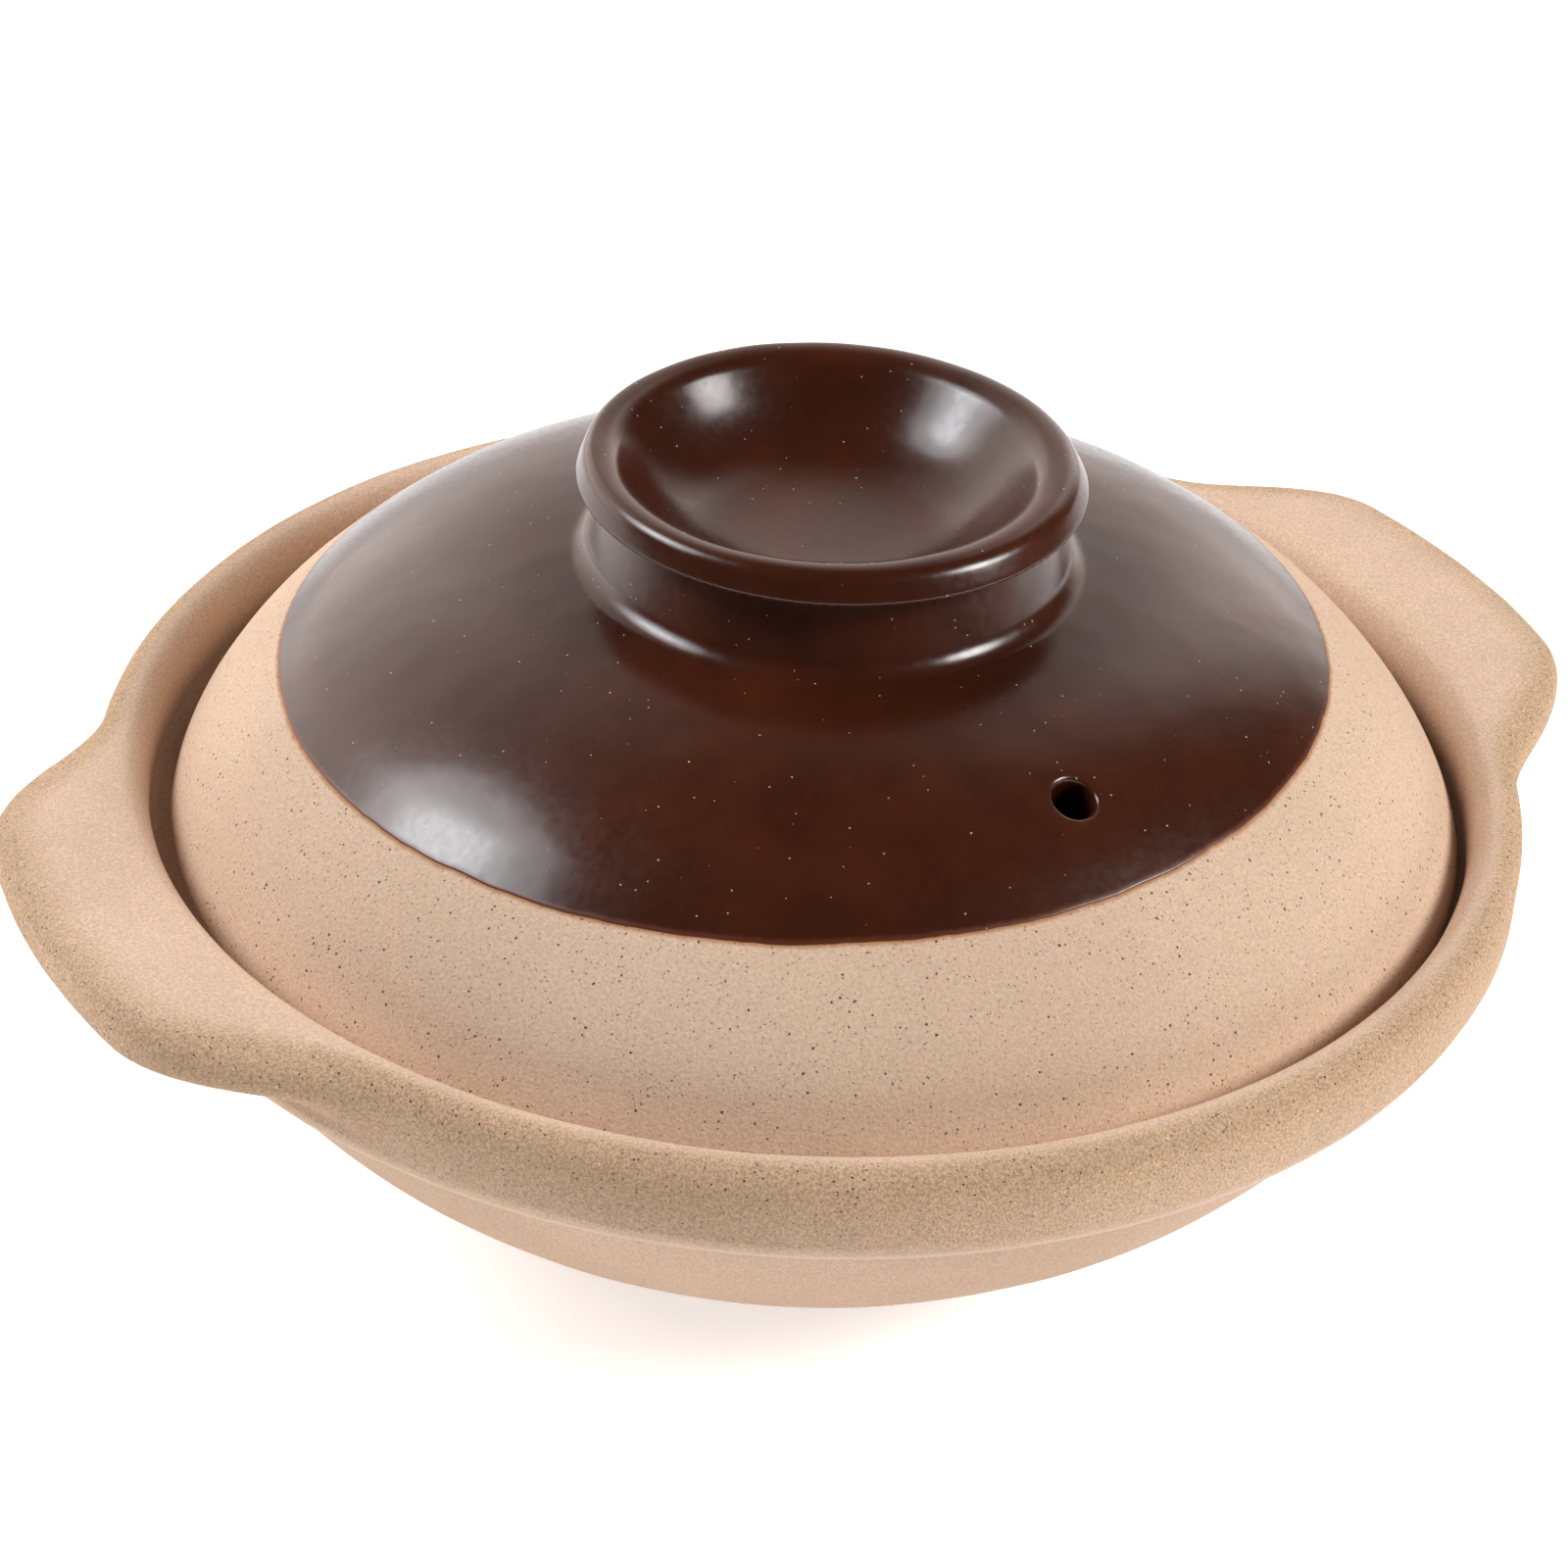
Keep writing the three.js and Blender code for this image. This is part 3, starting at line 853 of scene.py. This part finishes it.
def lid_clay_material(finishes):
    """Fine bare clay with dark specks, stained along the edge of the glaze."""
    material, tree, shader, coords = new_material("speckled_clay")
    edge = node(tree, "ShaderNodeAttribute", attribute_name="to_glaze").outputs["Fac"]
    fine = clouds(tree, coords, 0.4 * MM, 3.0, 0.65)
    patch = clouds(tree, coords, 30 * MM, 3.0)
    uneven = rough(tree, coords, 0.09 * MM)
    specks = grains(tree, uneven, 1.2 * MM, 0.8, 0.21 * MM)
    dots = grains(tree, uneven, 0.6 * MM, 0.8, 0.16 * MM)
    clay = Vector(finishes.lid_clay)
    body = mixed(tree, ranged(tree, fine, 0.3, 0.7), rgba(0.87 * clay), rgba(1.09 * clay))
    body = toned(tree, body, patch, (0.97, 0.96, 0.95), 1.02)
    ragged = maths(tree, "MULTIPLY_ADD", clouds(tree, coords, 0.9 * MM), 0.5 * MM, edge)
    stain = ranged(tree, ragged, 0.28 * MM, 0.95 * MM, 0.85, 0.0)
    body = mixed(tree, stain, body, rgba(finishes.glaze_edge))
    body = mixed(tree, maths(tree, "MULTIPLY", dots, 0.7), body, rgba(finishes.lid_speck))
    body = mixed(tree, specks, body, rgba(finishes.lid_speck))
    height = maths(tree, "MULTIPLY_ADD", specks, -1.2, fine)
    dressed(tree, shader, body, height, 1.0, 0.16 * MM)
    shader.inputs["Roughness"].default_value = 0.85
    shader.inputs["Specular IOR Level"].default_value = 0.3
    return material


def glaze_material(finishes):
    """Glossy dark brown glaze, redder where it is thin, with pale flecks and pinholes."""
    material, tree, shader, coords = new_material("dipped_glaze")
    edge = node(tree, "ShaderNodeAttribute", attribute_name="to_edge").outputs["Fac"]
    pool = clouds(tree, coords, 14 * MM, 4.0)
    flecks = grains(tree, rough(tree, coords, 0.05 * MM), 1.5 * MM, 0.6, 0.15 * MM)
    ripple = clouds(tree, coords, 7 * MM, 2.0)
    peel = clouds(tree, coords, 0.9 * MM, 2.0)
    pooled = ranged(tree, pool, 0.35, 0.75, 0.0, 0.4)
    body = mixed(tree, pooled, rgba(finishes.glaze), rgba(finishes.glaze_thin))
    thin = ranged(tree, edge, 0.15 * MM, 0.9 * MM, 1.0, 0.0)
    body = mixed(tree, thin, body, rgba(finishes.glaze_thin))
    body = mixed(tree, flecks, body, rgba(finishes.glaze_fleck))
    height = maths(tree, "MULTIPLY_ADD", peel, 0.06, ripple)
    height = maths(tree, "MULTIPLY_ADD", flecks, 0.6, height)
    dressed(tree, shader, body, height, 0.5, 0.12 * MM)
    gloss = maths(tree, "MULTIPLY_ADD", thin, 0.12, ranged(tree, peel, 0.3, 0.7, 0.19, 0.24))
    tree.links.new(gloss, shader.inputs["Roughness"])
    shader.inputs["IOR"].default_value = 1.55
    return material


def shared_glaze(finishes):
    """The glaze that the lid's coat and the bowl's lining share."""
    return bpy.data.materials.get("dipped_glaze") or glaze_material(finishes)


# Stage


def from_azimuth(azimuth, elevation):
    """The direction from the pot to a place round it, with azimuth 0 in front and 90 to the right."""
    flat = math.cos(elevation)
    return Vector((math.sin(azimuth) * flat, -math.cos(azimuth) * flat, math.sin(elevation)))


def lamp(name, azimuth, elevation, distance, width, radiance, tint):
    """A round softbox that faces the pot."""
    data = bpy.data.lights.new(name, "AREA")
    data.shape = "ELLIPSE"
    data.size = width
    data.size_y = width
    data.energy = radiance * math.pi * width * width * math.pi / 4
    data.color = tint
    made = bpy.data.objects.new(name, data)
    way = from_azimuth(azimuth, elevation)
    made.location = way * distance
    made.rotation_euler = way.to_track_quat("Z", "Y").to_euler()
    made.visible_camera = False
    bpy.context.scene.collection.objects.link(made)
    return made


def seen_ray(tree):
    """1 for what the camera, gloss or glass sees."""
    path = node(tree, "ShaderNodeLightPath")
    mirrored = maths(tree, "MAXIMUM", path.outputs["Is Glossy Ray"], path.outputs["Is Transmission Ray"])
    return maths(tree, "MAXIMUM", path.outputs["Is Camera Ray"], mirrored)


def studio_world(stage):
    """A white surround for the camera, and a lit backdrop that fades overhead for all other rays."""
    world = bpy.data.worlds.new("studio")
    world.use_nodes = True
    tree = world.node_tree
    tree.nodes.clear()
    camera = node(tree, "ShaderNodeLightPath").outputs["Is Camera Ray"]
    way = node(tree, "ShaderNodeTexCoord").outputs["Generated"]
    up = node(tree, "ShaderNodeSeparateXYZ", {"Vector": way}).outputs["Z"]
    flat = node(tree, "ShaderNodeVectorMath", {0: way, 1: (1.0, 1.0, 0.0)}, operation="MULTIPLY")
    flat = node(tree, "ShaderNodeVectorMath", {0: flat.outputs[0]}, operation="NORMALIZE")
    middle = from_azimuth(stage.azimuth + stage.backdrop_turn, 0.0)
    facing = node(tree, "ShaderNodeVectorMath", {0: flat.outputs[0], 1: middle}, operation="DOT_PRODUCT")
    width = ranged(tree, facing.outputs["Value"], 0.36, 0.72)
    height = ranged(tree, up, 0.45, 0.93, stage.backdrop, 0.0, "LINEAR")
    height = maths(tree, "ADD", height, ranged(tree, up, 0.0, 0.4, 0.4 * stage.backdrop, 0.0, "LINEAR"))
    behind = from_azimuth(stage.azimuth + math.pi, 0.0)
    opposite = node(tree, "ShaderNodeVectorMath", {0: flat.outputs[0], 1: behind}, operation="DOT_PRODUCT")
    dip = ranged(tree, opposite.outputs["Value"], 0.9, 0.98, 1.0, 0.55)
    pool = maths(tree, "MULTIPLY", width, dip)
    studio = maths(tree, "MULTIPLY_ADD", pool, height, stage.ambient)
    shown = maths(tree, "MAXIMUM", studio, camera)
    tone = mixed(tree, camera, (1.0, 0.9, 0.84, 1.0), (1.0, 1.0, 1.0, 1.0))
    surround = node(tree, "ShaderNodeBackground", {"Color": tone, "Strength": shown})
    node(tree, "ShaderNodeOutputWorld", {"Surface": surround.outputs[0]})
    bpy.context.scene.world = world


def floor_material():
    """A white floor that keeps the pot's shadow."""
    material = bpy.data.materials.new("studio_floor")
    material.use_nodes = True
    tree = material.node_tree
    tree.nodes.clear()
    paint = node(tree, "ShaderNodeBsdfDiffuse", {"Color": (0.95, 0.95, 0.95, 1.0)})
    glow = node(tree, "ShaderNodeEmission", {"Strength": maths(tree, "MULTIPLY", seen_ray(tree), 0.6)})
    both = node(tree, "ShaderNodeAddShader", {0: paint.outputs[0], 1: glow.outputs[0]})
    node(tree, "ShaderNodeOutputMaterial", {"Surface": both.outputs[0]})
    return material


def photo_camera(stage):
    """The camera at the photograph's viewing angle."""
    data = bpy.data.cameras.new("camera")
    data.sensor_width = 36.0
    data.lens = stage.lens
    made = bpy.data.objects.new("camera", data)
    way = from_azimuth(stage.azimuth, stage.elevation)
    place = Matrix.Translation(Vector((0, 0, stage.aim_height)) + way * stage.distance)
    facing = way.to_track_quat("Z", "Y").to_matrix().to_4x4()
    pan = Matrix.Rotation(stage.pan, 4, "Y")
    tilt = Matrix.Rotation(stage.tilt, 4, "X")
    roll = Matrix.Rotation(stage.roll, 4, "Z")
    made.matrix_world = place @ facing @ pan @ tilt @ roll
    bpy.context.scene.collection.objects.link(made)
    bpy.context.scene.camera = made


# Operators


class CASSEROLE_OT_stage(bpy.types.Operator):
    """Sets up the camera, the floor and the studio light"""

    bl_idname = "casserole.stage"
    bl_label = "Studio Stage"

    def execute(self, context):
        stage = context.scene.casserole.stage
        photo_camera(stage)
        studio_world(stage)
        left = (stage.azimuth + stage.left_turn, stage.left_height)
        right = (stage.azimuth + stage.right_turn, stage.right_height)
        lamp("left_softbox", *left, SOFTBOX_DISTANCE, 0.75, 5.0, COOL)
        lamp("left_bulb", *left, BULB_DISTANCE, BULB_WIDTH, 9.5, COOL)
        lamp("right_softbox", *right, SOFTBOX_DISTANCE, 0.55, 10.2, WARM)
        lamp("right_bulb", *right, BULB_DISTANCE, BULB_WIDTH, 12.0, WARM)
        table = lamp("light_table", stage.azimuth, -math.pi / 2, -2 * FLOOR_DROP, 1.35, 0.22, WHITE)
        table.visible_glossy = False
        bm = bmesh.new()
        bmesh.ops.create_circle(bm, cap_ends=True, segments=64, radius=stage.floor_radius)
        bmesh.ops.translate(bm, verts=bm.verts, vec=(0, 0, -FLOOR_DROP))
        mesh = bpy.data.meshes.new("floor")
        bm.to_mesh(mesh)
        bm.free()
        mesh.materials.append(floor_material())
        floor = bpy.data.objects.new("floor", mesh)
        context.scene.collection.objects.link(floor)
        context.scene.view_settings.view_transform = "Standard"
        return {"FINISHED"}


class CASSEROLE_OT_pot(bpy.types.Operator):
    """Turns the clay pot and draws its rim out into two ear handles"""

    bl_idname = "casserole.pot"
    bl_label = "Clay Pot"

    def execute(self, context):
        settings = context.scene.casserole
        path, first = pot_outline(settings.pot)
        bm = spun(path, POT_SEGMENTS)
        draw_out_ears(bm, settings.pot, path, first)
        stray(bm, 0.5 * MM)
        nodes = ("pot_bowl", "ear_handle_left", "ear_handle_right")
        piece("pot_clay", bm, pot_clay_material(settings.finishes), "pot", nodes)
        return {"FINISHED"}


class CASSEROLE_OT_lining(bpy.types.Operator):
    """Lines the bowl with glaze up to the ledge"""

    bl_idname = "casserole.lining"
    bl_label = "Bowl Lining"

    def execute(self, context):
        settings = context.scene.casserole
        pot = settings.pot
        glaze = settings.glaze
        wall = bowl_inside(pot)
        clay = filled([at(0, pot.floor), wall[0]], FLAT_STEP)[:-1] + wall
        rows = [clay[-1].lerp(clay[-2], i / 8) for i in range(8, -1, -1)]
        clay = clay[:-2] + rows
        left = [(clay[-1] - point).length for point in clay]
        face = moved(clay, -glaze.thickness)
        lifts = [coat_lift(glaze, distance) / glaze.thickness for distance in left]
        face = [low.lerp(high, lift) for low, high, lift in zip(clay, face, lifts)]
        bm = spun(face, POT_SEGMENTS)
        face_up(bm)
        row = bm.verts.layers.int["row"]
        edge = bm.verts.layers.float.new("to_edge")
        for vert in bm.verts:
            vert[edge] = left[vert[row]]
        stray(bm)
        material = shared_glaze(settings.finishes)
        lining = piece("bowl_lining", bm, material, "pot", ("bowl_glaze",))
        bedded(lining, glaze)
        return {"FINISHED"}


class CASSEROLE_OT_lid(bpy.types.Operator):
    """Turns the clay lid with its knob and drills its steam vent"""

    bl_idname = "casserole.lid"
    bl_label = "Clay Lid"

    def execute(self, context):
        settings = context.scene.casserole
        lid = settings.lid
        glaze = settings.glaze
        skin, foot_end, _ = knob_skin(lid, settings.knob, glaze)
        knob_clay = moved(skin, glaze.thickness)
        out, back, slant = vent_spots(lid)
        outside = vent_rows(dome, lid, lid.radius, out, foot_end, lid.radius, (18, 44))
        edge = arc(at(lid.radius - lid.edge, lid.edge), lid.edge, 0, -90)
        inner = hollow_radius(lid)
        seat = filled([edge[-1], at(inner, 0)])
        under = vent_rows(hollow, lid, inner, back, 0.0, inner, (34, 26))
        under[0].x = 0.0
        path = knob_clay[:-1] + outside + edge[1:] + seat[1:-1] + under[::-1]
        bm = spun(path, LID_SEGMENTS, lid.vent_angle)
        wide = lid.vent_radius + glaze.thickness
        outer_rim, centre, axis = open_vent(bm, lid, out, slant, wide + VENT_CHAMFER)
        inner_rim, low, _ = open_vent(bm, lid, back, slant, wide + lid.vent_lip)
        inner_rim = sink(bm, inner_rim, low, axis, [(i, -d) for i, d in lip_steps(lid.vent_lip)])
        outer_rim = sink(bm, outer_rim, centre, axis, [(VENT_CHAMFER, VENT_CHAMFER)])
        bmesh.ops.bridge_loops(bm, edges=outer_rim + inner_rim)
        bmesh.ops.recalc_face_normals(bm, faces=bm.faces)
        shift_cup(bm, lid, settings.knob)
        to_glaze = bm.verts.layers.float.new("to_glaze")
        for vert in bm.verts:
            r = vert.co.xy.length
            vert[to_glaze] = 1.0
            if vert.co.z > dome(lid, r) - 0.2 * lid.wall and r > MM:
                fall = slope(dome, lid, min(r, lid.radius - MM))
                vert[to_glaze] = (r - dip_edge(lid, glaze, vert.co)) / math.cos(fall)
        bmesh.ops.translate(bm, verts=bm.verts, vec=LID_PLACE)
        stray(bm)
        nodes = ("lid_dome", "lid_knob")
        piece("lid_clay", bm, lid_clay_material(settings.finishes), "lid", nodes)
        return {"FINISHED"}


class CASSEROLE_OT_glaze(bpy.types.Operator):
    """Coats the knob and the crown of the lid with the dipped glaze"""

    bl_idname = "casserole.glaze"
    bl_label = "Lid Glaze"

    def execute(self, context):
        settings = context.scene.casserole
        lid = settings.lid
        glaze = settings.glaze
        skin, foot_end, lip_edge = knob_skin(lid, settings.knob, glaze)
        out, _, slant = vent_spots(lid)
        steady = lid.vent_reach + 2.2 * VENT_CELLS * FULL_TURN * lid.vent_reach / LID_SEGMENTS
        dip = dome_radius(lid, lid.edge + glaze.dip_height)
        upper = vent_rows(dome, lid, lid.radius, out, foot_end, steady, (18, 4))
        shares = [1 - (1 - i / 16) ** 2.2 for i in range(1, 17)]
        radii = [point.x for point in upper[1:]] + [steady + (dip - steady) * s for s in shares]
        first = len(skin)
        path = skin + [at(r, dome(lid, r) + glaze.thickness) for r in radii]
        bm = spun(path, LID_SEGMENTS, lid.vent_angle)
        face_up(bm)
        row = bm.verts.layers.int["row"]
        edge = bm.verts.layers.float.new("to_edge")
        for vert in bm.verts:
            i = vert[row] - first
            vert[edge] = 0.3 * MM + (path[vert[row]] - lip_edge).length
            if i >= 0:
                end = dip_edge(lid, glaze, vert.co)
                r = radii[i]
                if r > steady:
                    r = steady + (r - steady) * (end - steady) / (dip - steady)
                fall = slope(dome, lid, r)
                vert[edge] = (end - r) / math.cos(fall)
                lift = coat_lift(glaze, vert[edge])
                spread = vert.co.xy.normalized() * (r + lift * math.sin(fall))
                vert.co = Vector((spread.x, spread.y, dome(lid, r) + lift * math.cos(fall)))
        lifted = out + glaze.thickness * at(math.sin(slant), math.cos(slant))
        rim, centre, axis = open_vent(bm, lid, lifted, slant, lid.vent_radius + lid.vent_lip)
        sink(bm, rim, centre, axis, lip_steps(lid.vent_lip) + [(0.0, BORE_STEP)] * BORE_STEPS)
        shift_cup(bm, lid, settings.knob)
        bmesh.ops.translate(bm, verts=bm.verts, vec=LID_PLACE)
        stray(bm)
        material = shared_glaze(settings.finishes)
        coat = piece("lid_glaze_coat", bm, material, "lid", ("lid_glaze",))
        bedded(coat, glaze)
        return {"FINISHED"}


class CASSEROLE_PT_panel(bpy.types.Panel):
    """Lists the steps that make the casserole"""

    bl_idname = "CASSEROLE_PT_panel"
    bl_label = "Casserole"
    bl_space_type = "VIEW_3D"
    bl_region_type = "UI"
    bl_category = "Casserole"

    def draw(self, context):
        for operator in OPERATORS:
            self.layout.operator(operator.bl_idname)


OPERATORS = (
    CASSEROLE_OT_stage,
    CASSEROLE_OT_pot,
    CASSEROLE_OT_lining,
    CASSEROLE_OT_lid,
    CASSEROLE_OT_glaze,
)
GROUPS = (PotSizes, LidSizes, KnobSizes, GlazeSizes, Finishes, StageSettings, CasseroleSettings)
CLASSES = (*GROUPS, *OPERATORS, CASSEROLE_PT_panel)


def register():
    """Registers the classes and hangs the settings on the scene."""
    for cls in CLASSES:
        bpy.utils.register_class(cls)
    bpy.types.Scene.casserole = PointerProperty(type=CasseroleSettings)


def unregister():
    """Takes the settings and the classes away again."""
    del bpy.types.Scene.casserole
    for cls in reversed(CLASSES):
        bpy.utils.unregister_class(cls)


def main():
    """Builds the casserole on its stage."""
    register()
    bpy.ops.casserole.stage()
    bpy.ops.casserole.pot()
    bpy.ops.casserole.lining()
    bpy.ops.casserole.lid()
    bpy.ops.casserole.glaze()


if __name__ == "__main__":
    main()
